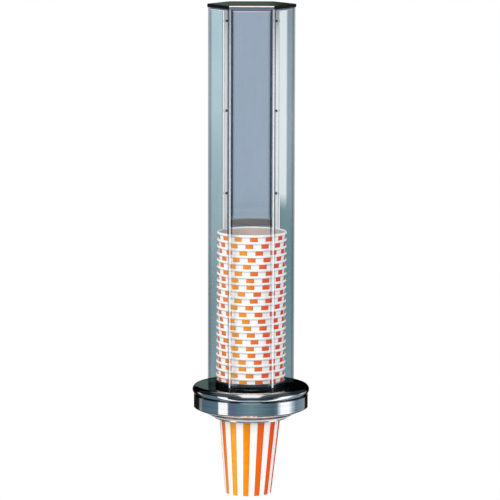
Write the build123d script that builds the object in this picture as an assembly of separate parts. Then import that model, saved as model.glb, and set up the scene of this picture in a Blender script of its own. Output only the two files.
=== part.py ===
from build123d import *
from math import cos, radians, sin
import os

# Cup dispenser: a six-sided clear tube on a round collar, hung on a wall bracket, with a stack
# of paper cups inside. Lengths are millimetres and angles degrees. The pieces are drawn about
# the tube's upright axis, with height zero on top of the collar, and are moved at the end so
# that the origin is the middle of the bracket's screw pattern, on the wall.

# Paper cup
cup_rim_r = 45.0            # outside of the rolled lip
cup_lip_width = 1.9         # past the wall's top
cup_taper = 13.1            # wall's top to the foot
cup_height = 139.4
cup_wall = 0.45
cup_lip_height = 3.2
cup_foot_height = 6.0       # the bottom disc sits this far up inside the foot
lip_round_share = 0.3       # of the lip's height, rounded off above and below
cup_sides = 32              # flats round the cup, to keep it light

# Stack
cups_above = 23             # cups over the one that hangs in the collar
cup_pitch = 8.825           # one rim to the next
hanging_rim_z = -2.7        # rim of the lowest cup
stack_sides = 24            # flats round the many joined cups

# Tube
tube_height = 488.5
tube_fit = 0.1              # spigot to the nearest face of the tube
back_plate_wall = 0.8
shell_wall = 1.5
shell_fold_r = 1.5          # inside radius of the shell's folds
back_plate_fold_r = 1.0
back_flange_width = 17.0    # turned-in edge of the back plate, under the shell's end

# Feet of the back plate, bent out over the collar
foot_length = 10.0
foot_width = 14.0
foot_spread = 28.0          # one foot's middle to the other's

# Lid
lid_overhang = 0.9          # past the tube's faces
lid_thick = 4.5
locator_depth = 3.0
locator_wall = 2.5
locator_play = 0.4

# Collar's fixed upper half
collar_width = 29.6         # from the spigot to the outer edge
collar_edge_height = 12.0   # full-round edge
cover_wall = 2.0
edge_facets = 6             # flats that make up the full-round edge
spigot_play = 0.3           # cup's lip to the spigot that guides it
spigot_wall = 0.8
spigot_height = 7.5

# Holding fingers, their posts and their soft pads
finger_count = 3
running_gap = 0.3           # between pieces that slide on each other
seat_gap = 0.3              # pad to the lip it carries
finger_thick = 2.0
finger_width = 6.0
finger_lip_gap = 0.4        # the blade stands this far outside the lip
finger_span = 60.0          # angle that the blade covers
finger_swing = 3.6          # opens by this angle
post_offset = 7.4           # post's axis outside the spigot
post_r = 3.5
pivot_play = 0.05
finger_hub_wall = 1.65
finger_hub_sides = 8
finger_chords = 3           # flats along the blade's outer edge
pad_play = 0.4              # pad to the cup's wall
pad_span = 24.0
follower_angle = 42.0
follower_offset = 3.4       # outside the cam ring's bore
follower_r = 2.0
follower_arm_width = 7.0
follower_arm_end = 3.5      # past the follower

# Retaining ring, fixed under the posts: the fingers lie on it and the cam ring turns round it
retainer_inset = 1.0        # outside the spigot
retainer_rim_width = 2.0    # carries the cam ring
retainer_rim_thick = 2.0
retainer_sides = 24         # flats round its hole and its rim

# Dial: cam ring, chromed band and bottom trim, which turn together
dial_turn = 15.0
cam_play = 0.1
cam_thick = 3.0
cam_sides = 24              # flats round the cam ring's outer edge
cam_edge_gap = 0.3          # its corners to the collar's edge
cam_slot_spare_share = 0.06 # of the turn, past each end
tab_count = 6               # bent down from the cam ring to carry the band
tab_start = 20.0            # angle of the first, clear of the slots
tab_width = 12.0
tab_thick = 1.5
tab_inset = 1.2             # inside the cam ring's corners
web_inner_inset = 1.0       # the band's web ends this far inside the tabs
band_step = 1.75            # band stands inside the collar's edge
band_bottom_z = -28.5
band_wall = 2.0
trim_drop = 1.5             # rounded shoulder under the band
trim_wall = 2.0
trim_sides = 48             # flats round it, to keep it light
mouth_z = -42.8
mouth_lip_width = 1.5       # ring round the mouth
mouth_ring_height = 2.2

# Wall bracket
collar_wall_gap = 2.25
wall_plate_thick = 3.0
wall_plate_width = 52.0
wall_plate_height = 230.0
wall_hole_r = 2.75
wall_hole_spacing_x = 40.0
wall_hole_spacing_z = 190.0
mount_z = 250.0             # middle of the bracket, above the collar's top
stud_r = 3.0
stud_head_r = 5.5           # to the corners
stud_head_sides = 6
stud_head_thick = 2.5
stud_spacing = 130.0
stud_lift = 12.0            # from the slot's end to the head's opening
stud_play = 0.3
stud_head_play = 1.0
rail_end = 35.0             # past each stud
rail_web_width = 28.0
rail_flange_width = 10.0
rail_wall = 2.0

overrun = 5.0               # cutters run past what they cut

# Cup, worked out: radii are the outsides of the wall's top and of the foot
cup_wall_top_r = cup_rim_r - cup_lip_width
cup_base_r = cup_wall_top_r - cup_taper
cup_slope = cup_taper / (cup_height - cup_lip_height)
top_rim_z = hanging_rim_z + cups_above * cup_pitch
lip_round = cup_lip_height * lip_round_share

# Tube, worked out: the cups and the collar's spigot round them set its size
spigot_inner_r = cup_rim_r + spigot_play
spigot_outer_r = spigot_inner_r + spigot_wall
plate_inner = spigot_outer_r + tube_fit
plate_outer = plate_inner + back_plate_wall
shell_outer = plate_outer + shell_wall
hex_half_angle = 30.0
shell_side = shell_outer / cos(radians(hex_half_angle))

# Collar, worked out from the middle outwards and from the top down
collar_r = spigot_outer_r + collar_width
edge_r = collar_edge_height / 2
edge_centre_r = collar_r - edge_r
finger_inner_r = cup_rim_r + finger_lip_gap
finger_outer_r = finger_inner_r + finger_width
post_circle_r = spigot_outer_r + post_offset
finger_hub_r = post_r + pivot_play + finger_hub_wall
retainer_shoulder_r = post_circle_r + finger_hub_r
cam_inner_r = retainer_shoulder_r + running_gap
follower_circle_r = cam_inner_r + follower_offset
cam_outer_r = edge_centre_r - cam_edge_gap
tab_r = cam_outer_r - tab_inset
web_inner_r = tab_r - tab_thick - web_inner_inset
retainer_inner_r = spigot_outer_r + retainer_inset
retainer_outer_r = cam_inner_r + retainer_rim_width
band_r = collar_r - band_step
band_inner_r = band_r - band_wall
pad_inner_r = cup_wall_top_r + pad_play

finger_top_z = hanging_rim_z - cup_lip_height - seat_gap
finger_low_z = finger_top_z - finger_thick
cam_top_z = finger_low_z - running_gap
cam_low_z = cam_top_z - cam_thick
retainer_top_z = cam_top_z
retainer_rim_z = cam_low_z - running_gap
retainer_low_z = retainer_rim_z - retainer_rim_thick
web_top_z = -collar_edge_height - running_gap
web_low_z = web_top_z - band_wall

# Bracket, worked out
axis_to_wall = collar_r + collar_wall_gap
wall_plate_front = axis_to_wall - wall_plate_thick
rail_back = wall_plate_front - running_gap
stud_head_back = rail_back - rail_wall - running_gap
rail_height = stud_spacing + 2 * rail_end

PLACE = Pos(0, -axis_to_wall, -mount_z)
FROM_BELOW = (Align.CENTER, Align.CENTER, Align.MIN)


def polar(radius, angle):
    return Vector(radius * cos(radians(angle)), radius * sin(radians(angle)))


def turned(*points):
    """Solid of revolution about the tube's axis from (radius, height) corners."""
    return revolve(Face(Wire.make_polygon([(r, 0, z) for r, z in points])), Axis.Z)


def rod(radius, low, high):
    return Pos(0, 0, low) * Cylinder(radius, high - low, align=FROM_BELOW)


def around(shape, start=0.0, count=finger_count):
    """Copies of a shape, evenly spaced about the tube's axis."""
    return [Rot(0, 0, start + 360 * n / count) * shape for n in range(count)]


def sector(inner_r, outer_r, start, end):
    """Flat piece of a ring between two angles."""
    middle = (start + end) / 2
    outside = ThreePointArc(polar(outer_r, start), polar(outer_r, middle), polar(outer_r, end))
    inside = ThreePointArc(polar(inner_r, end), polar(inner_r, middle), polar(inner_r, start))
    return make_face([outside, Line(outside @ 1, inside @ 0), inside, Line(inside @ 1, outside @ 0)])


def hexagon(apothem, fold_r=0.0):
    """Hexagon with a flat face to the front and corners left and right."""
    outline = RegularPolygon(apothem, 6, major_radius=False)
    return fillet(outline.vertices(), fold_r) if fold_r else outline


def hex_tube(outer, inner, low, high, outer_fold=0.0, inner_fold=0.0):
    section = hexagon(outer, outer_fold) - hexagon(inner, inner_fold)
    return Pos(0, 0, low) * extrude(section, high - low)


def cup_outer_r(rim_z, z):
    return cup_base_r + (z - rim_z + cup_height) * cup_slope


def flat_sided(sides, *points):
    """Like turned, with flat sides: a light solid from (radius, height) corners."""
    def corner(radius, height, n):
        spot = polar(radius, 360 * n / sides)
        return (spot.X, spot.Y, height)

    faces = []
    for (r1, z1), (r2, z2) in zip(points, points[1:] + points[:1]):
        if r1 and r2:
            outlines = [[corner(r1, z1, n), corner(r1, z1, n + 1), corner(r2, z2, n + 1),
                         corner(r2, z2, n)] for n in range(sides)]
        else:
            outlines = [[corner(r1 or r2, z1, n) for n in range(sides)]] if r1 or r2 else []
        faces += [Face(Wire.make_polygon(outline)) for outline in outlines]
    return Solid(Shell(faces))


def cup_inside(rim_z):
    """Corners of a cup's inner wall and floor, from the rim to the axis."""
    floor_z = rim_z - cup_height + cup_foot_height + cup_wall
    return [(cup_outer_r(rim_z, rim_z) - cup_wall, rim_z),
            (cup_outer_r(rim_z, floor_z) - cup_wall, floor_z), (0, floor_z)]


def cup(rim_z):
    """Tapered wall, rolled lip, and a bottom disc set up inside the foot."""
    foot_z = rim_z - cup_height
    disc_z = foot_z + cup_foot_height
    return flat_sided(
        cup_sides, (0, disc_z), (cup_outer_r(rim_z, disc_z) - cup_wall, disc_z),
        (cup_base_r - cup_wall, foot_z), (cup_base_r, foot_z),
        (cup_wall_top_r, rim_z - cup_lip_height),
        (cup_rim_r, rim_z - cup_lip_height + lip_round), (cup_rim_r, rim_z - lip_round),
        (cup_rim_r - lip_round, rim_z), *cup_inside(rim_z),
    )


def cup_stack():
    """The cups above the lowest one, nested tight and joined into one piece, open at the top."""
    rims = [hanging_rim_z + n * cup_pitch for n in range(1, cups_above + 1)]
    outside = [(0, rims[0] - cup_height), (cup_base_r, rims[0] - cup_height)]
    for rim_z in rims:
        outside += [(cup_wall_top_r, rim_z - cup_lip_height), (cup_rim_r, rim_z)]
    return flat_sided(stack_sides, *outside, *cup_inside(top_rim_z))


def clear_shell():
    """One clear sheet folded round five faces, open at the back."""
    outer_fold = shell_fold_r + shell_wall
    shell = hex_tube(shell_outer, plate_outer, 0, tube_height, outer_fold, shell_fold_r)
    behind = Box(2 * shell_side, shell_side, tube_height,
                 align=(Align.CENTER, Align.MIN, Align.MIN))
    return shell - Pos(0, plate_outer, 0) * behind


def back_plate():
    """Polished back wall with its edges turned in, and two feet bent out over the collar."""
    outer_fold = back_plate_fold_r + back_plate_wall
    plate = hex_tube(plate_outer, plate_inner, 0, tube_height, outer_fold, back_plate_fold_r)
    reach = plate_outer - back_flange_width * cos(radians(hex_half_angle))
    plate -= Pos(0, reach, 0) * Box(2 * shell_side, 2 * shell_side, tube_height,
                                    align=(Align.CENTER, Align.MAX, Align.MIN))
    for side in (-1, 1):
        plate += Pos(side * foot_spread / 2, plate_inner, 0) * Box(
            foot_width, back_plate_wall + foot_length, back_plate_wall,
            align=(Align.CENTER, Align.MIN, Align.MIN))
    return plate


def lid_plate():
    return Pos(0, 0, tube_height) * extrude(hexagon(shell_outer + lid_overhang), lid_thick)


def lid_locator():
    """Six-sided frame under the lid that drops inside the tube."""
    outer = plate_inner - locator_play
    return hex_tube(outer, outer - locator_wall, tube_height - locator_depth, tube_height)


def flange_cover():
    """Fixed top of the collar: a flat disc with a full-round edge, a spigot, and posts below."""
    outline = [(spigot_inner_r, -cover_wall), (spigot_inner_r, spigot_height),
               (spigot_outer_r, spigot_height), (spigot_outer_r, 0)]
    for n in range(edge_facets + 1):
        turn = radians(180 * n / edge_facets)
        outline.append((edge_centre_r + edge_r * sin(turn), edge_r * cos(turn) - edge_r))
    post = Pos(post_circle_r, 0) * rod(post_r, retainer_top_z, -cover_wall)
    return turned(*outline, (edge_centre_r, -cover_wall)) + around(post)


def finger():
    """Curved blade beside the lip, a hub on its post, and an arm with the cam follower."""
    hub = Pos(post_circle_r, 0) * RegularPolygon(finger_hub_r, finger_hub_sides)
    edge = Polyline([polar(finger_outer_r, finger_span * n / finger_chords)
                     for n in range(finger_chords + 1)])
    inside = ThreePointArc([polar(finger_inner_r, finger_span * n / 2) for n in (2, 1, 0)])
    blade = make_face([edge, Line(edge @ 1, inside @ 0), inside, Line(inside @ 1, edge @ 0)])
    arm_start = finger_outer_r - finger_width / 2
    arm = Pos(arm_start, 0) * Rectangle(
        follower_circle_r + follower_arm_end - arm_start, follower_arm_width,
        align=(Align.MIN, Align.CENTER))
    bore = Pos(post_circle_r, 0) * Circle(post_r + pivot_play)
    outline = hub + blade + Rot(0, 0, follower_angle) * arm - bore
    follower = polar(follower_circle_r, follower_angle)
    pin = rod(follower_r, cam_low_z + running_gap, finger_low_z)
    return Pos(0, 0, finger_low_z) * extrude(outline, finger_thick) + Pos(follower.X, follower.Y) * pin


def finger_pad():
    """Soft tongue on the blade's free end, under the lip of the lowest cup."""
    outline = sector(pad_inner_r, finger_inner_r, finger_span - pad_span, finger_span)
    return Pos(0, 0, finger_low_z) * extrude(outline, finger_thick)


def follower_at(share):
    """Follower's place on the dial when the dial has turned by a share of its travel."""
    pivot = Vector(post_circle_r, 0)
    arm = polar(follower_circle_r, follower_angle) - pivot
    return (pivot + arm.rotate(Axis.Z, -finger_swing * share)).rotate(Axis.Z, -dial_turn * share)


def cam_ring():
    """Turns under the fingers; each slot leads its follower outwards as the dial turns."""
    hole = Circle(cam_inner_r)
    start, end = -cam_slot_spare_share, 1 + cam_slot_spare_share
    path = ThreePointArc(follower_at(start), follower_at((start + end) / 2), follower_at(end))
    slot = SlotArc(path, 2 * (follower_r + cam_play))
    plate = RegularPolygon(cam_outer_r, cam_sides) - hole - around(slot)
    tab = Pos(tab_r, 0, web_top_z) * Box(tab_thick, tab_width, cam_low_z - web_top_z,
                                         align=(Align.MAX, Align.CENTER, Align.MIN))
    return Pos(0, 0, cam_low_z) * extrude(plate, cam_thick) + around(tab, tab_start, tab_count)


def retainer_ring():
    """Stepped ring fixed to the posts' ends, with a rim under the cam ring."""
    hole = RegularPolygon(retainer_inner_r, retainer_sides)
    rim = RegularPolygon(retainer_outer_r, retainer_sides) - hole
    shoulder = Circle(retainer_shoulder_r) - hole
    flat = Pos(0, 0, retainer_low_z) * extrude(rim, retainer_rim_thick)
    return flat + Pos(0, 0, retainer_rim_z) * extrude(shoulder, retainer_top_z - retainer_rim_z)


def dial_band():
    """Chromed band, with a web turned in at its top to the cam ring's tabs."""
    return turned(
        (band_r, band_bottom_z), (band_r, web_top_z), (web_inner_r, web_top_z),
        (web_inner_r, web_low_z), (band_inner_r, web_low_z), (band_inner_r, band_bottom_z),
    )


def bottom_trim():
    """Shallow funnel under the band, down to the mouth that the cups are pulled through."""
    shoulder_r = band_r - trim_drop
    shoulder_z = band_bottom_z - trim_drop
    mouth_outer_r = spigot_outer_r + mouth_lip_width
    ring_top_z = mouth_z + mouth_ring_height
    return flat_sided(
        trim_sides, (band_r, band_bottom_z), (band_inner_r, band_bottom_z),
        (spigot_outer_r, ring_top_z + trim_wall), (spigot_outer_r, mouth_z),
        (mouth_outer_r, mouth_z), (mouth_outer_r, ring_top_z), (shoulder_r, shoulder_z),
    )


def wall_plate():
    """Flat plate on the wall with four screw holes."""
    plate = Pos(0, axis_to_wall, mount_z) * Box(
        wall_plate_width, wall_plate_thick, wall_plate_height,
        align=(Align.CENTER, Align.MAX, Align.CENTER))
    holes = []
    for x in (-wall_hole_spacing_x / 2, wall_hole_spacing_x / 2):
        for z in (-wall_hole_spacing_z / 2, wall_hole_spacing_z / 2):
            holes.append(Pos(x, 0, mount_z + z) * back_rod(wall_hole_r, 0, axis_to_wall + overrun))
    return plate - holes


def back_rod(radius, front, back):
    """Rod along the front-to-back axis."""
    return Pos(0, front, 0) * Rot(-90, 0, 0) * Cylinder(radius, back - front, align=FROM_BELOW)


def stud_places():
    return [Pos(0, 0, mount_z + side * stud_spacing / 2) for side in (-1, 1)]


def wall_studs():
    """Two headed studs, welded to the wall plate, that carry the rail's keyholes."""
    stud = back_rod(stud_r, stud_head_back, wall_plate_front)
    head = extrude(RegularPolygon(stud_head_r, stud_head_sides), stud_head_thick)
    stud += Pos(0, stud_head_back - stud_head_thick, 0) * Rot(-90, 0, 0) * head
    return [place * stud for place in stud_places()]


def hanger_rail():
    """Channel welded to the back plate; each keyhole's slot hangs on a stud."""
    half_web = rail_web_width / 2
    half_rail = half_web + rail_flange_width
    flange_back = plate_outer + rail_wall
    right = [(half_web - rail_wall, rail_back - rail_wall), (half_web - rail_wall, plate_outer),
             (half_rail, plate_outer), (half_rail, flange_back), (half_web, flange_back),
             (half_web, rail_back)]
    left = [(-x, y) for x, y in reversed(right)]
    section = make_face(Polyline(*right, *left, close=True))
    rail = Pos(0, 0, mount_z - rail_height / 2) * extrude(section, rail_height)
    slot_r = stud_r + stud_play
    mouth = back_rod(stud_head_r + stud_head_play, stud_head_back, rail_back + overrun)
    slot = back_rod(slot_r, stud_head_back, rail_back + overrun)
    slot += Pos(0, stud_head_back, -stud_lift) * Box(
        2 * slot_r, rail_back + overrun - stud_head_back, stud_lift,
        align=(Align.CENTER, Align.MIN, Align.MIN))
    keyhole = slot + Pos(0, 0, -stud_lift) * mouth
    return rail - [place * keyhole for place in stud_places()]


def pieces():
    """Every node by name, drawn about the tube's axis."""
    made = {
        "wall_plate": wall_plate(),
        "wall_studs": wall_studs(),
        "hanger_rail": hanger_rail(),
        "back_plate": back_plate(),
        "clear_shell": clear_shell(),
        "lid_plate": lid_plate(),
        "lid_locator": lid_locator(),
        "flange_cover": flange_cover(),
        "retainer_ring": retainer_ring(),
        "cam_ring": cam_ring(),
        "dial_band": dial_band(),
        "bottom_trim": bottom_trim(),
        "cup_stack": cup_stack(),
        "dispensed_cup": cup(hanging_rim_z),
    }
    for n, (blade, pad) in enumerate(zip(around(finger()), around(finger_pad())), start=1):
        made[f"finger_{n}"] = blade
        made[f"finger_pad_{n}"] = pad
    return made


os.makedirs("parts", exist_ok=True)
for name, shape in pieces().items():
    solids = shape if isinstance(shape, list) else [shape]
    placed = [PLACE * solid for each in solids for solid in each.solids()]
    export_step(placed[0] if len(placed) == 1 else Compound(placed), f"parts/{name}.step")
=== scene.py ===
from math import cos, hypot, inf, pi, radians, sin, tan

import bmesh
import bpy
from mathutils import Matrix, Vector


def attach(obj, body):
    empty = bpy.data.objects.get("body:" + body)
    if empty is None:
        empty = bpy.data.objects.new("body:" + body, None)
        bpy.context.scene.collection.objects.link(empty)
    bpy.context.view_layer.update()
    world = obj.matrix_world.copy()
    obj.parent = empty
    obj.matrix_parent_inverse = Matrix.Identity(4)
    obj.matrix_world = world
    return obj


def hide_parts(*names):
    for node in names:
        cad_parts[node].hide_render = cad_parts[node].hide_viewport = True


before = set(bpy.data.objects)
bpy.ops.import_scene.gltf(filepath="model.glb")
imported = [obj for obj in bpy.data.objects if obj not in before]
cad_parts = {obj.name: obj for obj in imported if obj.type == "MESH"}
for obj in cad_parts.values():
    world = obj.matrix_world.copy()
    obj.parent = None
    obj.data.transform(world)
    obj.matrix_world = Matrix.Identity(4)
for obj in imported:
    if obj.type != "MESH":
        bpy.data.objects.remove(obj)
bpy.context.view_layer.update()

# Sizes are millimetres and angles degrees, unless a comment says otherwise. Places are about the
# tube's axis, with x to the right, y towards the wall and height zero on top of the collar. The
# frame's origin is on the wall, MOUNT_Z higher.
AXIS_TO_WALL = 77.95
MOUNT_Z = 250.0
SIXTH, TWELFTH = radians(60), radians(30)  # of a turn, for the hexagon

# Cups. The rolled lip has points every LIP_TURN from straight down, and is narrower than high.
CUP_RIM_R, CUP_WALL_TOP_R, CUP_BASE_R = 45.0, 43.1, 30.0
CUP_HEIGHT, CUP_WALL, CUP_LIP, CUP_FOOT = 139.4, 0.45, 3.2, 6.0
LIP_SQUASH, LIP_POINTS, LIP_TURN = 0.72, 13, 15
PITCH, HANGING_RIM_Z, STRIPES = 8.825, -2.7, 13
# Turn of each stacked cup, from the top one down: the orange stripe nearest the front.
TURNS = [3.3, -4.5, 12.8, -0.3, -8.1, 4.1, -2.4, -1.9, 10.0, 3.9, -3.8, 12.6,
         -9.5, -6.7, -0.5, 5.8, -1.7, 0.9, 12.1, 13.0, -2.1, 14.4, 2.0]
HANGING_TURN = -5.8
# Sideways for each unit of height: all cups lean a little in the tube, and more below it. With
# this goes a small shift of them all.
LEAN, LOWER_LEAN, CUP_SHIFT = 0.0067, 0.014, -0.3
# Second coordinate of the cups' UV map: 0 to 1 up the outer wall, then these.
ON_LIP, INSIDE = 2, 3

# Tube: the back plate's faces and the clear shell's, from the axis, and the shell's folds.
TUBE_H = 488.5
PLATE_INNER, PLATE_OUTER, SHELL_OUTER = 46.2, 47.0, 48.5
FOLD_FRONT, FOLD_SIDE, FOLD_STEPS = 6.5, 1.7, 8

# Collar: the cover with its full-round edge, its low ring round the cups and its posts.
COLLAR_R, EDGE_H, EDGE_STEPS = 75.7, 12.0, 24
SPIGOT_IN, SPIGOT_OUT, SPIGOT_H = 45.3, 46.1, 7.5
COVER_WALL = 2.0
POST_COUNT, POST_CIRCLE, POST_R, POST_LOW = 3, 53.5, 3.5, -8.5
# Radii, heights and half width of the dark stretch of painted shade on the edge's underside.
EDGE_SHADE = 73, 76, -7.7, -6.1, 30
# The band, and the funnel under it: its shoulder, mouth, bead and the outside of its dark ring
# of painted shade.
BAND_R, BAND_WALL, BAND_TOP, BAND_BOTTOM = 73.95, 2.0, -12.3, -28.5
WEB_IN, SHOULDER, SHOULDER_GAP = 65.7, 1.5, 0.3
MOUTH_Z, MOUTH_R, MOUTH_RING, MOUTH_INNER, MOUTH_GROOVE = -42.8, 47.6, 2.2, 2.0, 0.4
BEAD_R, BEAD_W, BEAD_H, DARK_R = 54.0, 0.8, 1.5, 66.0

LID_APOTHEM, LID_H, LID_EDGE, LOCATOR_H = 49.4, 4.5, 0.4, 3.0
LID_R = LID_APOTHEM / cos(TWELFTH)

RIVET_HEIGHTS = [49.0, 147.0, 244.9, 352.4, 468.5]
RIVET_INSET, RIVET_R, RIVET_SHANK_R = 12.6, 1.7, 0.9
# Half outlines of a rivet's two ends, (radius, height): low outside the wall, taller inside.
RIVET_HEAD = [(0, 1.1), (0.7, 1.0), (1.3, 0.65), (RIVET_R, 0.15), (RIVET_R, 0)]
RIVET_BUTTON = [(0, 2.3), (1.0, 2.2), (1.5, 1.8), (RIVET_R, 1.3), (RIVET_R, 0)]

# Sides of the turned pieces, and the least angle of a sharp edge: in general, on the collar and
# the folded shell, and on the cups.
CUP_SIDES, COLLAR_SIDES, POST_SIDES, RIVET_SIDES = 96, 160, 32, 16
SHARP, SHARP_FINE, SHARP_CUP = 30.0, 35.0, 50.0

# Floor. Its radii are in metres: its own, and the two between which the mirrored stripes begin.
FLOOR_Z, FLOOR_SIDES, FLOOR_GLOW = -759.06, 96, 0.9
FLOOR_R, FLOOR_CLOSE, FLOOR_AWAY = 0.45, 0.17, 0.19

# Camera: the focal length and the frame's width in pixels, the sensor, and how it stands.
FOCAL_PX, FRAME_PX, SENSOR = 3384.0, 500.0, 36.0
CAMERA_PITCH, CAMERA_ROLL, CAMERA_AIM = 7.74, 0.135, (-1.5, 0, 175.4)
CAMERA_DISTANCE, CAMERA_END = 4.365, 50.0  # metres

# Lamps: name, place, aim, size in metres, power in watts and colour; and the world's plain light.
SKY_LEVEL = 0.62
LAMPS = [
    ("key_left", (-1500, -1900, 1300), (0, 0, 60), (1.2, 1.6), 50, (1.0, 0.98, 0.95)),
    ("fill_right", (1700, -1500, 500), (0, 0, 60), (1.0, 1.6), 20, (0.94, 0.97, 1.0)),
    ("top_back", (300, 900, 1700), (0, 0, 100), (1.4, 1.0), 14, (1.0, 1.0, 1.0)),
]


def at(x, y, z):
    """A point about the tube's axis in millimetres, as a point of the frame in metres."""
    return Vector((x, y - AXIS_TO_WALL, z - MOUNT_Z)) / 1000


# Meshes

def show(obj):
    """Puts an object in the scene."""
    bpy.context.scene.collection.objects.link(obj)
    return obj


def build(name, verts, faces, mats, smooth=SHARP, uvs=None, slots=None):
    """Object from points about the tube's axis, smooth apart from edges over an angle."""
    mesh = bpy.data.meshes.new(name)
    mesh.from_pydata([at(*v) for v in verts], [], faces)
    for m in mats:
        mesh.materials.append(m)
    if slots:
        mesh.polygons.foreach_set("material_index", slots)
    if uvs:
        layer = mesh.uv_layers.new(name="UVMap")
        for n, uv in enumerate(uvs):
            layer.data[n].uv = uv
    mesh.validate()
    mesh.shade_smooth()
    mesh.set_sharp_from_angle(angle=radians(smooth))
    return show(bpy.data.objects.new(name, mesh))


def rounded(points, radii, steps=6, closed=True):
    """Outline with its corners rounded. radii maps a corner's number to its radius.

    A round takes less than half of each side. A point held just outside it keeps the flat
    next to it flat in the mirror."""
    most, hold_most, hold_share = 0.49, 0.15, 0.01
    out, count = [], len(points)
    for n, point in enumerate(points):
        r = radii.get(n, 0)
        if not r or (not closed and n in (0, count - 1)):
            out.append(point)
            continue
        p, a, b = Vector(point), Vector(points[n - 1]), Vector(points[(n + 1) % count])
        u, v = (a - p).normalized(), (b - p).normalized()
        half = u.angle(v) / 2
        reach = min(r / tan(half), most * (a - p).length, most * (b - p).length)
        r = reach * tan(half)
        centre = p + (u + v).normalized() * (r / sin(half))
        start, end = p + u * reach - centre, p + v * reach - centre
        turn = start.angle_signed(end)
        hold = min(hold_most, hold_share * (a - p).length, hold_share * (b - p).length)
        out.append(tuple(p + u * (reach + hold)))
        for k in range(steps + 1):
            c = start.copy()
            c.rotate(Matrix.Rotation(-turn * k / steps, 2))
            out.append(tuple(centre + c))
        out.append(tuple(p + v * (reach + hold)))
    return out


def lathe(name, profile, mats, sides, closed=True, smooth=SHARP, marks=None):
    """Turned solid about the tube's axis, from a profile of (radius, height) points.

    marks gives the UV map's second coordinate at both ends of each stretch of the profile."""
    verts, faces, uvs, rows = [], [], [], []
    for r, z in profile:
        around = 1 if r == 0 else sides
        rows.append([len(verts) + k for k in range(around)])
        for k in range(around):
            t = 2 * pi * k / sides
            verts.append((r * sin(t), -r * cos(t), z))
    count = len(profile)
    for n in range(count if closed else count - 1):
        a, b = rows[n], rows[(n + 1) % count]
        if len(a) == 1 and len(b) == 1:
            continue
        va, vb = marks[n] if marks else (n, n + 1)
        for k in range(sides):
            j = (k + 1) % sides
            u0, u1 = k / sides, (k + 1) / sides
            if len(a) == 1:
                faces.append((a[0], b[k], b[j]))
                uvs += [(u0, va), (u0, vb), (u1, vb)]
            elif len(b) == 1:
                faces.append((a[k], b[0], a[j]))
                uvs += [(u0, va), (u0, vb), (u1, va)]
            else:
                faces.append((a[k], b[k], b[j], a[j]))
                uvs += [(u0, va), (u0, vb), (u1, vb), (u1, va)]
    return build(name, verts, faces, mats, smooth, uvs)


def merged(first, *others):
    """One object from several, which must share their materials' order."""
    bm = bmesh.new()
    for obj in (first, *others):
        bm.from_mesh(obj.data)
    bm.to_mesh(first.data)
    bm.free()
    for obj in others:
        bpy.data.objects.remove(obj)
    return first


def soften(obj, width):
    """Rounds the sharp edges of an object."""
    mod = obj.modifiers.new("edge", "BEVEL")
    mod.width = width / 1000
    mod.segments = 3
    mod.limit_method = "ANGLE"
    mod.harden_normals = True
    graph = bpy.context.evaluated_depsgraph_get()
    mesh = bpy.data.meshes.new_from_object(obj.evaluated_get(graph))
    obj.modifiers.clear()
    obj.data = mesh


def repaint(obj, mat, inner, outer, low, high, side=inf):
    """Gives one of an object's materials to its faces between two radii and two heights, as
    far as side from the middle plane. A face is found by its middle."""
    slot = obj.data.materials.find(mat.name)
    for face in obj.data.polygons:
        x, y, z = face.center * 1000
        ring = inner < hypot(x, y + AXIS_TO_WALL) < outer and low < z + MOUNT_Z < high
        if ring and abs(x) < side:
            face.material_index = slot


# Materials

WHITE = (1, 1, 1, 1)


def hexed(value, more=0):
    """Linear colour of a written sRGB triple, 0 to 255, made paler by more."""
    def one(c):
        c = min(255, c + more) / 255
        return c / 12.92 if c <= 0.04045 else ((c + 0.055) / 1.055) ** 2.4
    return (*[one(c) for c in value], 1.0)


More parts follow.
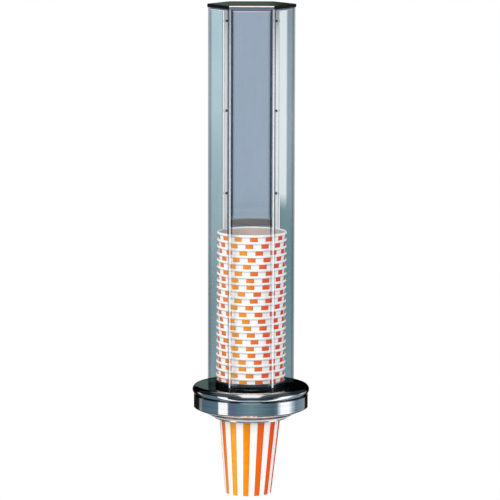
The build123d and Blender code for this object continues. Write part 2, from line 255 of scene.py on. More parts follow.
class Nodes:
    """Shorthand for the nodes of a material or a world."""

    def __init__(self, owner):
        owner.use_nodes = True
        self.tree = owner.node_tree
        self.tree.nodes.clear()

    def add(self, kind, **values):
        node = self.tree.nodes.new(kind)
        for key, value in values.items():
            setattr(node, key, value)
        return node

    def fill(self, sockets, values):
        """Gives each socket its value: a number, a colour or another node's output."""
        for socket, value in zip(sockets, values):
            if isinstance(value, (int, float, tuple)):
                socket.default_value = value
            else:
                self.tree.links.new(value, socket)

    def give(self, node, **values):
        """Fills a node's inputs by name, with _ for a space."""
        self.fill([node.inputs[key.replace("_", " ")] for key in values], values.values())
        return node

    def math(self, op, *values):
        node = self.add("ShaderNodeMath", operation=op)
        self.fill(node.inputs, values)
        return node.outputs[0]

    def vector(self, op, *values):
        node = self.add("ShaderNodeVectorMath", operation=op)
        self.fill(node.inputs, values)
        return node.outputs

    def clamp(self, value):
        return self.math("MINIMUM", self.math("MAXIMUM", value, 0.0), 1.0)

    def mix(self, factor, a, b, blend="MIX"):
        node = self.add("ShaderNodeMix", data_type="RGBA", blend_type=blend)
        factor_and_colours = [node.inputs[n] for n in (0, 6, 7)]
        self.fill(factor_and_colours, (factor, a, b))
        return node.outputs[2]

    def noise(self, scale, detail, *stretch):
        node = self.add("ShaderNodeTexNoise")
        where = self.where(*stretch)
        return self.give(node, Scale=scale, Detail=detail, Vector=where).outputs["Fac"]

    def where(self, *stretch):
        """The place on the object in metres, scaled by three factors where they are given."""
        coords = self.add("ShaderNodeTexCoord")
        mapping = self.add("ShaderNodeMapping")
        self.give(mapping, Scale=stretch or (1, 1, 1), Vector=coords.outputs["Object"])
        return mapping.outputs[0]

    def split(self, vector):
        """A vector's three numbers."""
        return self.give(self.add("ShaderNodeSeparateXYZ"), Vector=vector).outputs

    def uv(self):
        return self.split(self.add("ShaderNodeUVMap", uv_map="UVMap").outputs[0])

    def ramp(self, value, stops):
        """A value turned into the colours or grey levels of its stops."""
        node = self.add("ShaderNodeValToRGB")
        elements = node.color_ramp.elements
        while len(elements) < len(stops):
            elements.new(1.0)
        for element, (place, colour) in zip(elements, stops):
            element.position = place
            element.color = colour if isinstance(colour, tuple) else (colour, colour, colour, 1)
        self.fill(node.inputs, [value])
        return node.outputs[0]

    def window(self, value, low, high, soft_low, soft_high):
        """1 between two values and 0 outside them, with soft ends."""
        return self.ramp(value, [(low - soft_low, 0.0), (low + soft_low, 1.0),
                                 (high - soft_high, 1.0), (high + soft_high, 0.0)])

    def bump(self, height, strength, distance):
        node = self.add("ShaderNodeBump")
        return self.give(node, Strength=strength, Distance=distance, Height=height).outputs[0]

    def shader(self, colour, rough, metal=0.0, specular=0.5, **more):
        node = self.add("ShaderNodeBsdfPrincipled")
        return self.give(node, Base_Color=colour, Roughness=rough, Metallic=metal,
                         Specular_IOR_Level=specular, **more).outputs[0]

    def light(self, kind, colour=WHITE, strength=1.0):
        """The glow of a surface or of the world."""
        return self.give(self.add(kind), Color=colour, Strength=strength).outputs[0]

    def mix_shader(self, factor, a, b):
        node = self.add("ShaderNodeMixShader")
        self.fill(node.inputs, (factor, a, b))
        return node.outputs[0]

    def share_of_turn(self, x, y):
        """Where on the way round: 0.5 in front, 0.25 on the left, 0.75 on the right, and 0 or 1
        behind; and how far in front."""
        front = self.math("MULTIPLY", y, -1.0)
        angle = self.math("ARCTAN2", x, front)
        return self.math("MULTIPLY_ADD", angle, 1 / (2 * pi), 0.5), front

    def out(self, surface, kind="ShaderNodeOutputMaterial"):
        self.give(self.add(kind), Surface=surface)


def material(name):
    """A new material, and the shorthand for its nodes."""
    m = bpy.data.materials.new(name)
    return m, Nodes(m)


def chrome(name, tone=(232, 234, 236), rough=0.015, lines=0.0):
    """Mirror plating; lines is the depth of the faint turning marks round a spun piece."""
    m, n = material(name)
    smudge = n.noise(60, 3)
    colour = hexed(tone)
    if lines:
        turned = n.ramp(n.noise(700, 1, 0.01, 0.01, 1), [(0.42, lines), (0.62, 0.0)])
        colour = n.mix(turned, colour, hexed((120, 124, 150)))
    n.out(n.shader(colour, n.math("MULTIPLY_ADD", smudge, 0.03, rough), 1.0))
    return m


def satin(name, tone):
    """Pale plating round the mouth, too dull to mirror the cup: a painted highlight for the
    bright lines there.
    """
    m, n = material(name)
    mottle = n.noise(90, 3, 1, 1, 0.3)
    colour = n.mix(mottle, hexed(tone), hexed(tone, 16))
    n.out(n.shader(colour, n.math("MULTIPLY_ADD", mottle, 0.1, 0.3), 0.15))
    return m


def brushed(name, tone, rough, along=(30, 30, 1)):
    """Plain steel with a fine grain."""
    m, n = material(name)
    grain = n.noise(40, 3, *along)
    colour = n.mix(grain, hexed(tone), hexed(tone, 14))
    n.out(n.shader(colour, n.math("MULTIPLY_ADD", grain, 0.15, rough), 1.0,
                   Normal=n.bump(grain, 0.08, 0.0001)))
    return m


# How sharp the stripes' edges are, and how soon the stripes' colours change across the cups,
# which have these from left to right. The change is painted light: yellower on the left, where
# the light is brighter, and redder on the right.
STRIPE_EDGE, LIT_INK_ACROSS = 9.0, 11.0
LIT_INK_STOPS = [(0.10, (234, 112, 14)), (0.26, (240, 180, 52)), (0.42, (234, 156, 18)),
       (0.58, (228, 106, 10)), (0.74, (236, 88, 14)), (0.90, (224, 60, 12))]


def paper(name, turn):
    """Waxed white paper with straight stripes down the wall, none on the lip or inside."""
    m, n = material(name)
    around, up, _ = n.uv()
    wave = n.math("COSINE", n.math("MULTIPLY_ADD", around, 2 * pi * STRIPES,
                                   -radians(turn) * STRIPES))
    stripe = n.clamp(n.math("MULTIPLY_ADD", wave, STRIPE_EDGE, 0.5))
    wall = n.math("LESS_THAN", up, ON_LIP - 0.5)
    fibre = n.noise(700, 3)
    # painted light: the stripes turn yellower towards the left
    across = n.math("MULTIPLY_ADD", n.split(n.where())[0], LIT_INK_ACROSS, 0.5)
    lit_ink = n.ramp(across, [(place, hexed(tone)) for place, tone in LIT_INK_STOPS])
    lit_ink = n.mix(n.math("MULTIPLY", n.noise(160, 2), 0.5), lit_ink, hexed((226, 78, 24)))
    white = n.mix(fibre, hexed((252, 251, 249)), hexed((243, 242, 242)))
    # painted shadow on the wall just under the lip
    under = n.math("MULTIPLY", n.ramp(up, [(0.986, 0.0), (0.994, 0.5)]), wall)
    white = n.mix(under, white, hexed((176, 166, 196)))
    # painted shade: the inside is a darker brownish grey
    white = n.mix(n.math("GREATER_THAN", up, INSIDE - 0.5), white, hexed((200, 184, 176)))
    colour = n.mix(n.math("MULTIPLY", stripe, wall), white, lit_ink)
    n.out(n.shader(colour, n.math("MULTIPLY_ADD", fibre, 0.15, 0.42), specular=0.2,
                   Normal=n.bump(fibre, 0.05, 0.00005)))
    return m


def along_side(n, low, high):
    """Distance from the middle plane as 0 at low to 1 at high, and the place it comes from."""
    place = n.split(n.where())
    side = n.math("ABSOLUTE", place[0])
    return n.math("MULTIPLY_ADD", side, 1000 / (high - low), -low / (high - low)), place


# Distances from the middle plane between which the clear sheets' tints are given.
TINT_FROM, TINT_TO = 28.0, 56.0
# Heights in metres over which their lower tints end: in general, and where the right half has
# tints of its own, on the left and on the right.
EVEN_FADE = [(0.198, 0.0), (0.204, 1.0)]
LEFT_FADE, RIGHT_FADE = [(0.10, 0.0), (0.40, 1.0)], [(0.225, 0.0), (0.245, 1.0)]


def clear_sheet(name, tints, gloss_stops, fold=False, right=None, below=None):
    """Clear plastic sheet. The tint and the gloss follow the distance from the middle plane,
    or on a fold the way round it, which its UV map gives. right has the tints of the right
    half where they differ, and below those of the lower part. The dark lines in the tints are
    painted shade, and the differences of the right half and the lower part painted reflections."""
    m, n = material(name)
    where, (x, _, z) = along_side(n, TINT_FROM, TINT_TO)
    up = n.math("ADD", z, MOUNT_Z / 1000)
    if fold:
        where = n.uv()[0]
    tint = n.ramp(where, tints)
    if right:
        on_right = n.math("GREATER_THAN", x, 0.0)
        fade = n.mix(on_right, n.ramp(up, LEFT_FADE), n.ramp(up, RIGHT_FADE))
        tint = n.mix(fade, n.ramp(where, below), n.mix(on_right, tint, n.ramp(where, right)))
    elif below:
        tint = n.mix(n.ramp(up, EVEN_FADE), n.ramp(where, below), tint)
    cloud = n.ramp(n.noise(18, 2, 1, 1, 0.35), [(0.4, 0.0), (0.75, 0.18)])
    through = n.give(n.add("ShaderNodeBsdfTransparent"), Color=n.mix(cloud, tint, WHITE))
    gloss = n.give(n.add("ShaderNodeBsdfGlossy"), Color=WHITE, Roughness=0.03)
    facing = n.give(n.add("ShaderNodeLayerWeight"), Blend=0.5).outputs["Facing"]
    edge = n.math("MULTIPLY_ADD", n.math("POWER", facing, 5.0), 0.9, 0.04)
    n.out(n.mix_shader(n.math("MULTIPLY", edge, n.ramp(where, gloss_stops)),
                       through.outputs[0], gloss.outputs[0]))
    return m


# Distances from the middle plane: where the back plate's turned-in edge and its cut begin, and
# the span of the plate's shades.
FLANGE_FROM, CUT_FROM, PLATE_SPAN = 27.8, 35.15, 50.0


def back_steel(name):
    """Polished plate with a pale edge turned in on each side, dark at the cut."""
    m, n = material(name)
    where, _ = along_side(n, 0.0, PLATE_SPAN)
    grain = n.noise(26, 3, 1, 1, 0.4)
    weave = n.noise(420, 1, 1, 1, 0.15)
    plate = n.mix(grain, hexed((214, 222, 228)), hexed((231, 233, 240)))
    plate = n.mix(n.math("MULTIPLY", weave, 0.35), plate, hexed((196, 206, 214)))
    # painted shade: the plate darkens towards its folds
    plate = n.mix(n.ramp(where, [(0.40, 0.0), (0.50, 0.35)]), plate, hexed((120, 132, 140)))
    flange = n.math("GREATER_THAN", where, FLANGE_FROM / PLATE_SPAN)
    cut = n.math("GREATER_THAN", where, CUT_FROM / PLATE_SPAN)
    edge = n.mix(cut, n.mix(grain, hexed((246, 244, 247)), hexed((254, 252, 254))),
                 hexed((44, 46, 52)))
    roughness = n.math("MULTIPLY_ADD", flange, 0.3, n.math("MULTIPLY_ADD", grain, 0.03, 0.02))
    metal = n.math("MULTIPLY_ADD", flange, -1.0, 1.0)
    n.out(n.shader(n.mix(flange, plate, edge), roughness, metal))
    return m


def plastic(name, tone, rough, grain=0.1):
    """Moulded plastic or rubber with a fine grain."""
    m, n = material(name)
    fine = n.noise(500, 3)
    colour = n.mix(fine, hexed(tone), hexed(tone, 8))
    n.out(n.shader(colour, n.math("MULTIPLY_ADD", fine, 0.12, rough),
                   Normal=n.bump(fine, grain, 0.0001)))
    return m


def lid_plastic(name):
    """Dark green plastic, cloudy with brown."""
    m, n = material(name)
    cloud = n.noise(16, 3)
    colour = n.mix(n.ramp(cloud, [(0.42, 0.0), (0.62, 1.0)]), hexed((26, 62, 50)),
                   hexed((66, 46, 42)))
    n.out(n.shader(colour, n.math("MULTIPLY_ADD", cloud, 0.08, 0.08), specular=0.25))
    return m


def rim_plastic(name, low, high, tones):
    """The cut edge of a sheet; its tones run up from low to high."""
    m, n = material(name)
    span = high - low
    up = n.math("MULTIPLY_ADD", n.split(n.where())[2], 1000 / span, (MOUNT_Z - low) / span)
    wave = n.math("MULTIPLY_ADD", n.noise(60, 2, 1, 1, 0), 0.08, -0.04)
    colour = n.ramp(n.math("ADD", up, wave), [(place, hexed(tone)) for place, tone in tones])
    n.out(n.shader(colour, n.math("ADD", wave, 0.5), specular=0.15))
    return m


CHROME = chrome("collar_chrome_smooth")
CHROME_LINED = chrome("collar_chrome_lined", lines=0.22)
# painted shade: a darker copy of the chrome for the low ring's upright faces
CHROME_DARK = chrome("collar_chrome_painted_shade", (118, 122, 128), 0.05)
# painted shade: a dark rough copy of the chrome for the ring next to the funnel's bead
CHROME_SHADE_RING = chrome("collar_chrome_painted_shade_ring", (54, 56, 62), 0.3)
# painted shade: a near-black copy for a stretch of the edge's underside
CHROME_EDGE_SHADE = chrome("collar_chrome_painted_shade_edge", (48, 50, 54), 0.05)
# painted highlight: pale satin for the bright lines round the funnel and its mouth
RIM_HIGHLIGHT = satin("mouth_rim_painted_highlight", (228, 232, 236))
STEEL = brushed("bracket_steel_brushed", (160, 162, 165), 0.32, (1, 1, 30))
WORKS = brushed("works_steel_plain", (135, 137, 140), 0.4)
BACK = back_steel("polished_back_steel")

# Tints of the clear sheets, from clear to the dark lines at the folds and the ends: the
# plastic's teal tint, with painted shade in the dark lines and painted reflections in the pale
# right half and the darker lower part.
CLEAR, FACE, FAINT = (0.985, 0.99, 0.992, 1), (0.975, 0.985, 0.988, 1), (0.86, 0.86, 0.88, 1)
PALE, LIGHTER, BLUE = (0.84, 0.88, 0.89, 1), (0.64, 0.75, 0.79, 1), (0.42, 0.53, 0.58, 1)
DEEP, RIM = (0.39, 0.50, 0.53, 1), (0.48, 0.52, 0.56, 1)
DIM, LINE = (0.40, 0.41, 0.45, 1), (0.34, 0.38, 0.41, 1)
ON_FRONT, ON_SLANTED, ON_REAR, ON_FOLD = range(4)  # places in the list below
SHEETS = [
    clear_sheet("clear_wall_front", [(0.0, CLEAR), (1.0, CLEAR)], [(0.0, 1.0), (1.0, 1.0)]),
    clear_sheet("clear_wall_slanted",
                [(0.0, LINE), (0.085, LINE), (0.10, FACE), (1.0, FACE)],
                [(0.0, 0.35), (1.0, 0.35)],
                below=[(0.0, FAINT), (0.085, FAINT), (0.10, FACE), (1.0, FACE)]),
    clear_sheet("clear_wall_rear",
                [(0.0, FACE), (0.315, FACE), (0.325, RIM), (0.35, RIM), (0.36, LIGHTER),
                 (0.80, LIGHTER), (0.87, RIM), (0.95, RIM), (0.97, LINE), (1.0, LINE)],
                [(0.0, 0.2), (1.0, 0.2)],
                right=[(0.0, PALE), (0.59, PALE), (0.66, RIM), (0.82, BLUE), (0.90, LINE),
                       (1.0, LINE)],
                below=[(0.0, FACE), (0.315, FACE), (0.325, LINE), (0.35, LINE), (0.36, DEEP),
                       (0.84, DEEP), (0.90, LINE), (1.0, LINE)]),
    clear_sheet("clear_wall_fold",
                [(0.0, LINE), (0.16, LINE), (0.22, CLEAR), (0.66, CLEAR), (0.74, DIM),
                 (0.92, DIM), (1.0, CLEAR)],
                [(0.0, 0.5), (0.20, 0.5), (0.26, 14.0), (0.56, 14.0), (0.62, 0.5)], fold=True,
                below=[(0.0, FAINT), (0.14, FAINT), (0.22, CLEAR), (0.60, CLEAR),
                       (0.68, FAINT), (0.92, FAINT), (1.0, CLEAR)]),
]

LID = lid_plastic("lid_dark_green")
LID_SIDE = rim_plastic("lid_rim_dark", TUBE_H, TUBE_H + LID_H, [
    (0.0, (30, 32, 30)), (0.3, (13, 15, 12)), (1.0, (10, 12, 9))])
# painted highlight: the white-pink band along the top of the front edge
LID_FRONT = rim_plastic("lid_rim_front", TUBE_H, TUBE_H + LID_H, [
    (0.0, (122, 130, 158)), (0.24, (112, 122, 148)), (0.30, (58, 74, 74)),
    (0.66, (66, 80, 74)), (0.74, (250, 226, 220)), (1.0, (252, 214, 206))])
# painted highlight: the pale pink band along the lower edge
LOCATOR = rim_plastic("locator_blue_grey", TUBE_H - LOCATOR_H, TUBE_H, [
    (0.0, (236, 210, 218)), (0.22, (224, 204, 214)), (0.30, (84, 98, 128)),
    (1.0, (100, 114, 142))])
FINGER = plastic("finger_black_plastic", (24, 24, 26), 0.45)
RUBBER = plastic("pad_black_rubber", (20, 20, 20), 0.7, 0.3)
RIVET = plastic("rivet_dark", (26, 27, 30), 0.2)

# The CAD nodes that stay in view.
for mat, *nodes in (
        (STEEL, "wall_plate", "wall_studs", "hanger_rail"),
        (WORKS, "retainer_ring", "cam_ring"),
        (FINGER, "finger_1", "finger_2", "finger_3"),
        (RUBBER, "finger_pad_1", "finger_pad_2", "finger_pad_3"),
        (BACK, "back_plate"),
        (LOCATOR, "lid_locator")):
    for node in nodes:
        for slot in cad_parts[node].material_slots:
            slot.material = mat


# Cups

def cup_outer(rim_z, z):
    """Outer radius of a cup's wall at a height."""
    slope = (CUP_WALL_TOP_R - CUP_BASE_R) / (CUP_HEIGHT - CUP_LIP)
    return CUP_BASE_R + (z - rim_z + CUP_HEIGHT) * slope


def make_cup(name, rim_z, turn):
    """One paper cup with a rolled lip, a thin wall, and its bottom disc up inside the foot."""
    foot = rim_z - CUP_HEIGHT
    disc = foot + CUP_FOOT
    roll = CUP_LIP / 2
    centre_r, centre_z = CUP_RIM_R - roll * LIP_SQUASH, rim_z - roll
    middle = CUP_BASE_R + (CUP_WALL_TOP_R - CUP_BASE_R) / 2, (foot + rim_z - CUP_LIP) / 2
    wall = [(CUP_BASE_R, foot), middle, (CUP_WALL_TOP_R, rim_z - CUP_LIP)]
    lip = []
    for k in range(1, LIP_POINTS + 1):
        t = radians(-90 + LIP_TURN * k)
        lip.append((centre_r + roll * LIP_SQUASH * cos(t), centre_z + roll * sin(t)))
    inner = [(cup_outer(rim_z, rim_z - roll) - CUP_WALL, rim_z - roll),
             (cup_outer(rim_z, disc + CUP_WALL) - CUP_WALL, disc + CUP_WALL), (0, disc + CUP_WALL),
             (0, disc), (cup_outer(rim_z, disc) - CUP_WALL, disc), (CUP_BASE_R - CUP_WALL, foot)]
    marks = [(0, 0.5), (0.5, 1.0)]
    marks += [(ON_LIP, ON_LIP)] * (len(lip) + 1) + [(INSIDE, INSIDE)] * len(inner)
    obj = lathe(name, wall + lip + inner, [paper(name + "_paper", turn)], CUP_SIDES,
                smooth=SHARP_CUP, marks=marks)
    for v in obj.data.vertices:
        z = v.co.z + MOUNT_Z / 1000
        v.co.x += LEAN * z + LOWER_LEAN * min(z, 0) + CUP_SHIFT / 1000
    return obj


for n, turn in enumerate(TURNS):
    rim = HANGING_RIM_Z + (len(TURNS) - n) * PITCH
    obj = make_cup(f"cup_{n + 1:02d}", rim, turn)
    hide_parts("cup_stack")
    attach(obj, "cup_stack")
hanging = make_cup("cup_hanging", HANGING_RIM_Z, HANGING_TURN)
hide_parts("dispensed_cup")
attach(hanging, "pulled_cup")


# Collar

def collar_cover():
    """Disc with a full-round edge, the low ring round the cups on it, and three posts below."""
    r = EDGE_H / 2
    centre = COLLAR_R - r
    profile = [(SPIGOT_IN, -COVER_WALL), (SPIGOT_IN, SPIGOT_H), (SPIGOT_OUT, SPIGOT_H),
               (SPIGOT_OUT, 0)]
    for k in range(EDGE_STEPS + 1):
        t = radians(180 * k / EDGE_STEPS)
        profile.append((centre + r * sin(t), r * cos(t) - r))
    profile.append((centre, -COVER_WALL))
    profile = rounded(profile, {1: 0.35, 2: 0.35, 3: 0.5})
    mats = [CHROME, CHROME_DARK, CHROME_EDGE_SHADE]
    cover = lathe("collar_cover", profile, mats, COLLAR_SIDES, smooth=SHARP_FINE)
    # painted shade: the low ring's upright faces are a darker chrome,
    # and so is a stretch of the edge's underside
    repaint(cover, CHROME_DARK, 0, SPIGOT_OUT + 0.5, 0.02, SPIGOT_H - 0.6)
    repaint(cover, CHROME_EDGE_SHADE, *EDGE_SHADE)
    posts = []
    for n in range(POST_COUNT):
        post = lathe("post", [(0, POST_LOW), (POST_R, POST_LOW), (POST_R, -COVER_WALL),
                              (0, -COVER_WALL)], mats, POST_SIDES)
        t = radians(360 * n / POST_COUNT)
        x, y = POST_CIRCLE * cos(t), POST_CIRCLE * sin(t)
        post.data.transform(Matrix.Translation(Vector((x, y, 0)) / 1000))
        posts.append(post)
    return merged(cover, *posts)


def band():
    """The turning band with its web, open below."""
    profile = [(BAND_R, BAND_BOTTOM), (BAND_R, BAND_TOP), (WEB_IN, BAND_TOP),
               (WEB_IN, BAND_TOP - BAND_WALL), (BAND_R - BAND_WALL, BAND_TOP - BAND_WALL),
               (BAND_R - BAND_WALL, BAND_BOTTOM)]
    return lathe("dial_band_smooth", rounded(profile, {1: 0.8}), [CHROME_LINED], COLLAR_SIDES,
                 smooth=SHARP_FINE)


def funnel():
    """The shallow funnel under the band, with a bead and an upright ring round its mouth."""
    ring_top = MOUTH_Z + MOUTH_RING
    slope = (BAND_BOTTOM - SHOULDER - ring_top) / (BAND_R - SHOULDER - MOUTH_R)
    bead_z, dark_z = [ring_top + slope * (r - MOUTH_R) for r in (BEAD_R, DARK_R)]
    profile = [(BAND_R, BAND_BOTTOM), (BAND_R - BAND_WALL, BAND_BOTTOM),
               (SPIGOT_OUT, ring_top + MOUTH_INNER), (SPIGOT_OUT, MOUTH_Z), (MOUTH_R, MOUTH_Z),
               (MOUTH_R, ring_top - MOUTH_GROOVE), (BEAD_R - BEAD_W, bead_z - BEAD_H),
               (BEAD_R, bead_z), (DARK_R, dark_z), (BAND_R - SHOULDER, BAND_BOTTOM - SHOULDER),
               (BAND_R, BAND_BOTTOM - SHOULDER_GAP)]
    profile = rounded(profile, {3: 0.4, 4: 0.5, 5: 0.3, 6: 0.7, 7: 0.3, 9: 1.2, 10: 0.6})
    obj = lathe("funnel_smooth", profile, [CHROME, CHROME_SHADE_RING, RIM_HIGHLIGHT], COLLAR_SIDES,
                smooth=SHARP_FINE)
    # painted shade: a dark ring next to the bead; painted highlight: pale satin outside it and
    # round the mouth
    repaint(obj, CHROME_SHADE_RING, BEAD_R + 0.2, DARK_R, ring_top, BAND_BOTTOM)
    repaint(obj, RIM_HIGHLIGHT, DARK_R, BAND_R - SHOULDER - 1.0, ring_top, BAND_BOTTOM)
    repaint(obj, RIM_HIGHLIGHT, MOUTH_R + 0.1, BEAD_R + 0.1, MOUTH_Z + 1, bead_z + 0.1)
    return obj


cover = collar_cover()
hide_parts("flange_cover")
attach(cover, "dispenser")
smooth_band = band()
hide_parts("dial_band")
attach(smooth_band, "dial")
smooth_funnel = funnel()
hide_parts("bottom_trim")
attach(smooth_funnel, "dial")


# Clear shell

def hex_line(apothem, back, fold_front, fold_side):
    """Open outline of five faces, from the left end behind round the front to the right end."""
    corner, half = apothem / cos(TWELFTH), apothem * tan(TWELFTH)
    end = corner - back / apothem * (corner - half)
    points = [(-end, back), (-corner, 0), (-half, -apothem), (half, -apothem), (corner, 0),
              (end, back)]
    radii = {1: fold_side, 2: fold_front, 3: fold_front, 4: fold_side}
    return rounded(points, radii, FOLD_STEPS, closed=False)


def folded_shell():
    """One sheet folded round five faces; each front fold's UV runs across it."""
    sheet = SHELL_OUTER - PLATE_OUTER
    outer = hex_line(SHELL_OUTER, PLATE_OUTER, FOLD_FRONT, FOLD_SIDE)
    inner = hex_line(PLATE_OUTER, PLATE_OUTER, FOLD_FRONT - sheet, FOLD_SIDE - sheet)
    count = len(outer)
    last = count - 1
    verts = [(x, y, z) for z in (0, TUBE_H) for line in (outer, inner) for x, y in line]
    faces, slots, uvs = [], [], []

    def add(corners, slot, u=(0, 1, 1, 0)):
        faces.append(corners)
        slots.append(slot)
        uvs.extend((v, 0) for v in u)

    # stretches of the outline: the left end, four folds with a flat after each, the last of
    # which is the right end; folds 0 and 3 are at the sides, 1 and 2 in front
    pieces = FOLD_STEPS + 2
    for n in range(last):
        fold, step = divmod(n - 1, pieces + 1)
        on_fold = n > 0 and step < pieces
        u0, u1 = 0, 0
        if on_fold and fold in (1, 2):
            slot, u0, u1 = ON_FOLD, step / pieces, (step + 1) / pieces
            if fold == 2:
                u0, u1 = 1 - u0, 1 - u1
        elif on_fold or n in (0, last - 1):
            slot = ON_REAR
        else:
            slot = ON_FRONT if fold == 1 else ON_SLANTED
        o, i, top = n, n + count, 2 * count
        add((o, o + 1, o + 1 + top, o + top), slot, (u0, u1, u1, u0))
        add((i + 1, i, i + top, i + 1 + top), slot, (u1, u0, u0, u1))
        add((o + top, o + 1 + top, i + 1 + top, i + top), ON_REAR)
        add((o + 1, o, i, i + 1), ON_REAR)
    add((0, 2 * count, 3 * count, count), ON_REAR)
    add((last, last + count, last + 3 * count, last + 2 * count), ON_REAR)
    return build("clear_shell_folded", verts, faces, SHEETS, SHARP_FINE, uvs, slots)


shell = folded_shell()
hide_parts("clear_shell")
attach(shell, "dispenser")


# Lid

def lid_plate():
    """Six-sided plate with softened edges; its front edge has a material of its own."""
    corners = [(LID_R * cos(radians(60 * k)), LID_R * sin(radians(60 * k))) for k in range(6)]
    verts = [(x, y, z) for z in (TUBE_H, TUBE_H + LID_H) for x, y in corners]
    faces = [(5, 4, 3, 2, 1, 0), (6, 7, 8, 9, 10, 11)]
    faces += [(n, (n + 1) % 6, 6 + (n + 1) % 6, 6 + n) for n in range(6)]
    obj = build("lid_plate_bevelled", verts, faces, [LID, LID_SIDE, LID_FRONT])
    for face in obj.data.polygons:
        if abs(face.normal.z) < 0.5:
            face.material_index = 2 if face.normal.y < -0.9 else 1
    soften(obj, LID_EDGE)
    return obj


lid = lid_plate()
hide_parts("lid_plate")
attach(lid, "lid")


# Rivets through the shell and the back plate's edges

def rivet(name, side, height):
    """Dark rivet with a low domed head outside the wall and a taller one inside."""
    length = SHELL_OUTER - PLATE_INNER
    profile = [(r, length + z) for r, z in RIVET_HEAD]
    profile += [(RIVET_SHANK_R, length), (RIVET_SHANK_R, 0)]
    profile += [(r, -z) for r, z in reversed(RIVET_BUTTON)]
    obj = lathe(name, profile, [RIVET], RIVET_SIDES, closed=False)
    along = Vector((side * cos(SIXTH), -sin(SIXTH), 0))
    normal = Vector((side * cos(TWELFTH), sin(TWELFTH), 0))
    corner = Vector((side * PLATE_INNER * tan(TWELFTH), PLATE_INNER, height))
    place = Matrix.Translation(at(*(corner + along * RIVET_INSET)))
    turn = normal.to_track_quat("Z", "Y").to_matrix().to_4x4()
    obj.data.transform(place @ turn @ Matrix.Translation(-at(0, 0, 0)))
    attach(obj, "dispenser")


for side, word in ((-1, "left"), (1, "right")):
    for n, height in enumerate(RIVET_HEIGHTS):
        rivet(f"rivet_{word}_{n + 1}", side, height)


# Stage, light and camera

# What the metal mirrors. A place on the way round is a share of a turn, as share_of_turn gives
# it, and a height is 0 straight down, 0.5 level and 1 straight up.
BLACK, GREY, BRIGHT = 0.012, 0.28, 1.3
TEAL, STEEL_BLUE, VIOLET = (0.09, 0.15, 0.18, 1), (0.12, 0.21, 0.27, 1), (0.16, 0.15, 0.27, 1)
GREEN, SKY_BLUE, SLATE = (0.19, 0.31, 0.34, 1), (0.46, 0.58, 0.64, 1), (0.18, 0.25, 0.31, 1)
MIST = (0.30, 0.36, 0.41, 1)
STRIPES_OF_LIGHT = [
    (0.0, BLACK), (0.139, BLACK), (0.150, GREY), (0.169, GREY), (0.181, TEAL),
    (0.305, STEEL_BLUE), (0.3125, BRIGHT), (0.364, BRIGHT), (0.372, STEEL_BLUE), (0.40, VIOLET),
    (0.42, STEEL_BLUE), (0.5, GREEN), (0.625, TEAL), (0.65, STEEL_BLUE), (0.68, BRIGHT),
    (0.73, BRIGHT), (0.761, SKY_BLUE), (0.79, SLATE), (0.884, MIST), (0.898, BLACK),
    (1.0, BLACK)]
# How strong the stripes are at each height.
STRIPE_LEVEL = [(0.0, 1.0), (0.455, 1.0), (0.485, 0.2), (0.52, 0.08), (0.70, 0.08)]
# Heights of the long box overhead behind and in front, and its colours away from the middle.
BOX_BEHIND = [(0.84, 0.0), (0.88, 1.0), (0.955, 1.0), (0.975, 0.0)]
BOX_IN_FRONT = [(0.64, 0.0), (0.68, 1.0)]
BOX_ACROSS = [(0.24, (1.1, 1.1, 1.12, 1)), (0.34, (0.13, 0.15, 0.16, 1)),
              (0.6, (0.07, 0.08, 0.09, 1))]
# Cards low in front, on the right and on the left: start, end, bottom, top and colour.
CARDS = [(0.455, 0.545, 0.434, 0.485, (0.47, 0.545, 0.635, 1)),
         (0.815, 0.85, 0.438, 0.475, (1.3, 1.35, 1.4, 1)),
         (0.15, 0.185, 0.419, 0.475, (0.9, 0.95, 1.0, 1))]
# A low card behind, for the back wall's outside and the bracket: how far round from the front
# it begins, its bottom and top, and its colour.
CARD_BEHIND, BEHIND_LOW, BEHIND_HIGH = [(0.465, 0.0), (0.48, 1.0)], 0.305, 0.485
BEHIND_COLOUR = (0.42, 0.46, 0.49, 1)
# Behind, what the lid and the collar's top mirror: green-grey on the left, black on the right.
# Each has its bottom, top, steepness from left to right, shift and colour.
SHADES_BEHIND = [(0.510, 0.562, -300.0, 2.7, (0.085, 0.125, 0.108, 1)),
                 (0.570, 0.66, -60.0, 0.5, (0.085, 0.126, 0.117, 1))]
SOFT, SOFTER = 0.005, 0.01  # half widths of the cards' edges
BEHIND_FROM = 0.95


def floor():
    """Pale floor that shows white, and in the metal as plain close to the piece and as the
    studio's stripes further out."""
    centre, low = at(0, 0, 0), at(0, 0, FLOOR_Z).z
    turns = [2 * pi * k / FLOOR_SIDES for k in range(FLOOR_SIDES)]
    mesh = bpy.data.meshes.new("floor")
    mesh.from_pydata([(centre.x + FLOOR_R * cos(t), centre.y + FLOOR_R * sin(t), low)
                      for t in turns], [], [tuple(range(FLOOR_SIDES))])
    m, n = material("floor_pale")
    grain = n.noise(3, 2)
    base = n.shader(n.mix(grain, hexed((244, 244, 244)), hexed((240, 240, 240))), 0.9)
    path = n.add("ShaderNodeLightPath").outputs
    seen = n.math("MAXIMUM", path["Is Camera Ray"], path["Is Transmission Ray"])
    seen = n.math("MAXIMUM", seen, path["Is Glossy Ray"])
    plain = n.mix_shader(n.math("MULTIPLY", seen, FLOOR_GLOW), base,
                         n.light("ShaderNodeEmission"))
    offset = n.vector("SUBTRACT", n.where(), (centre.x, centre.y, low))[0]
    reach = n.vector("LENGTH", offset)["Value"]
    away = n.ramp(reach, [(FLOOR_CLOSE, 0.0), (FLOOR_AWAY, 1.0)])
    x, y, _ = n.split(offset)
    share, _ = n.share_of_turn(x, y)
    stripes = n.light("ShaderNodeEmission", n.ramp(share, STRIPES_OF_LIGHT))
    n.out(n.mix_shader(n.math("MULTIPLY", path["Is Glossy Ray"], away), plain, stripes))
    mesh.materials.append(m)
    obj = show(bpy.data.objects.new("floor", mesh))


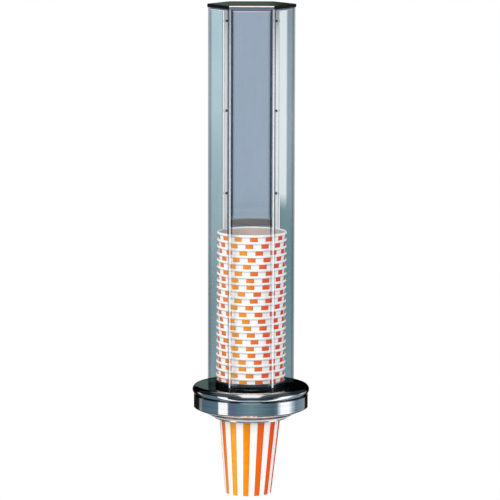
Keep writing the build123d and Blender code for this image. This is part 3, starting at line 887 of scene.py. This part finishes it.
def studio_world():
    """White to the eye. What the metal mirrors is a studio: soft boxes, cards and dark gaps."""
    world = bpy.data.worlds.new("studio")
    bpy.context.scene.world = world
    n = Nodes(world)
    x, y, z = n.split(n.add("ShaderNodeTexCoord").outputs["Generated"])
    share, front = n.share_of_turn(x, y)
    height = n.math("MULTIPLY_ADD", z, 0.5, 0.5)
    low = n.mix(1.0, n.ramp(share, STRIPES_OF_LIGHT), n.ramp(height, STRIPE_LEVEL), "MULTIPLY")
    # overhead, a long soft box from front to back with a dark ceiling on both sides of it
    sky = n.mix(n.math("GREATER_THAN", front, 0.0), n.ramp(height, BOX_BEHIND),
                n.ramp(height, BOX_IN_FRONT))
    studio = n.mix(sky, low, n.ramp(n.math("ABSOLUTE", x), BOX_ACROSS))
    for start, end, bottom, top, colour in CARDS:
        across = n.window(share, start, end, SOFTER, SOFTER)
        upright = n.window(height, bottom, top, SOFT, SOFTER)
        studio = n.mix(n.math("MULTIPLY", across, upright), studio, colour)
    upright = n.window(height, BEHIND_LOW, BEHIND_HIGH, SOFT, SOFT)
    turned = n.math("ABSOLUTE", n.math("ADD", share, -0.5))
    card = n.math("MULTIPLY", upright, n.ramp(turned, CARD_BEHIND))
    studio = n.mix(card, studio, BEHIND_COLOUR)
    behind = n.math("GREATER_THAN", y, BEHIND_FROM)
    for bottom, top, steep, shift, colour in SHADES_BEHIND:
        upright = n.window(height, bottom, top, SOFT, SOFTER)
        left = n.clamp(n.math("MULTIPLY_ADD", x, steep, shift))
        part = n.math("MULTIPLY", n.math("MULTIPLY", upright, left), behind)
        studio = n.mix(part, studio, colour)
    # what a dull surface gets from a mirror is the plain light
    path = n.add("ShaderNodeLightPath").outputs
    direct = n.math("LESS_THAN", path["Diffuse Depth"], 0.5)
    soft = n.light("ShaderNodeBackground", strength=SKY_LEVEL)
    mirrored = n.light("ShaderNodeBackground", studio)
    light = n.mix_shader(n.math("MULTIPLY", path["Is Glossy Ray"], direct), soft, mirrored)
    seen = n.math("MAXIMUM", path["Is Camera Ray"], path["Is Transmission Ray"])
    n.out(n.mix_shader(seen, light, n.light("ShaderNodeBackground")), "ShaderNodeOutputWorld")


def lamp(name, place, aim, size, power, colour):
    """Rectangular lamp that the metal doesn't mirror."""
    data = bpy.data.lights.new(name, "AREA")
    data.shape = "RECTANGLE"
    data.size, data.size_y = size
    data.energy = power
    data.color = colour
    obj = show(bpy.data.objects.new(name, data))
    obj.location = at(*place)
    obj.rotation_euler = (at(*aim) - at(*place)).to_track_quat("-Z", "Y").to_euler()
    obj.visible_glossy = False


def camera():
    """The photograph's viewing angle."""
    data = bpy.data.cameras.new("camera")
    data.sensor_width = SENSOR
    data.lens = FOCAL_PX / FRAME_PX * SENSOR
    data.clip_end = CAMERA_END
    obj = show(bpy.data.objects.new("camera", data))
    pitch, aim = radians(CAMERA_PITCH), at(*CAMERA_AIM)
    obj.location = aim + Vector((0, -cos(pitch), sin(pitch))) * CAMERA_DISTANCE
    look = (aim - obj.location).to_track_quat("-Z", "Y").to_matrix()
    obj.rotation_euler = (look @ Matrix.Rotation(radians(CAMERA_ROLL), 3, "Z")).to_euler()
    bpy.context.scene.camera = obj


floor()
studio_world()
for settings in LAMPS:
    lamp(*settings)
camera()

scene = bpy.context.scene
scene.view_settings.view_transform = "Standard"
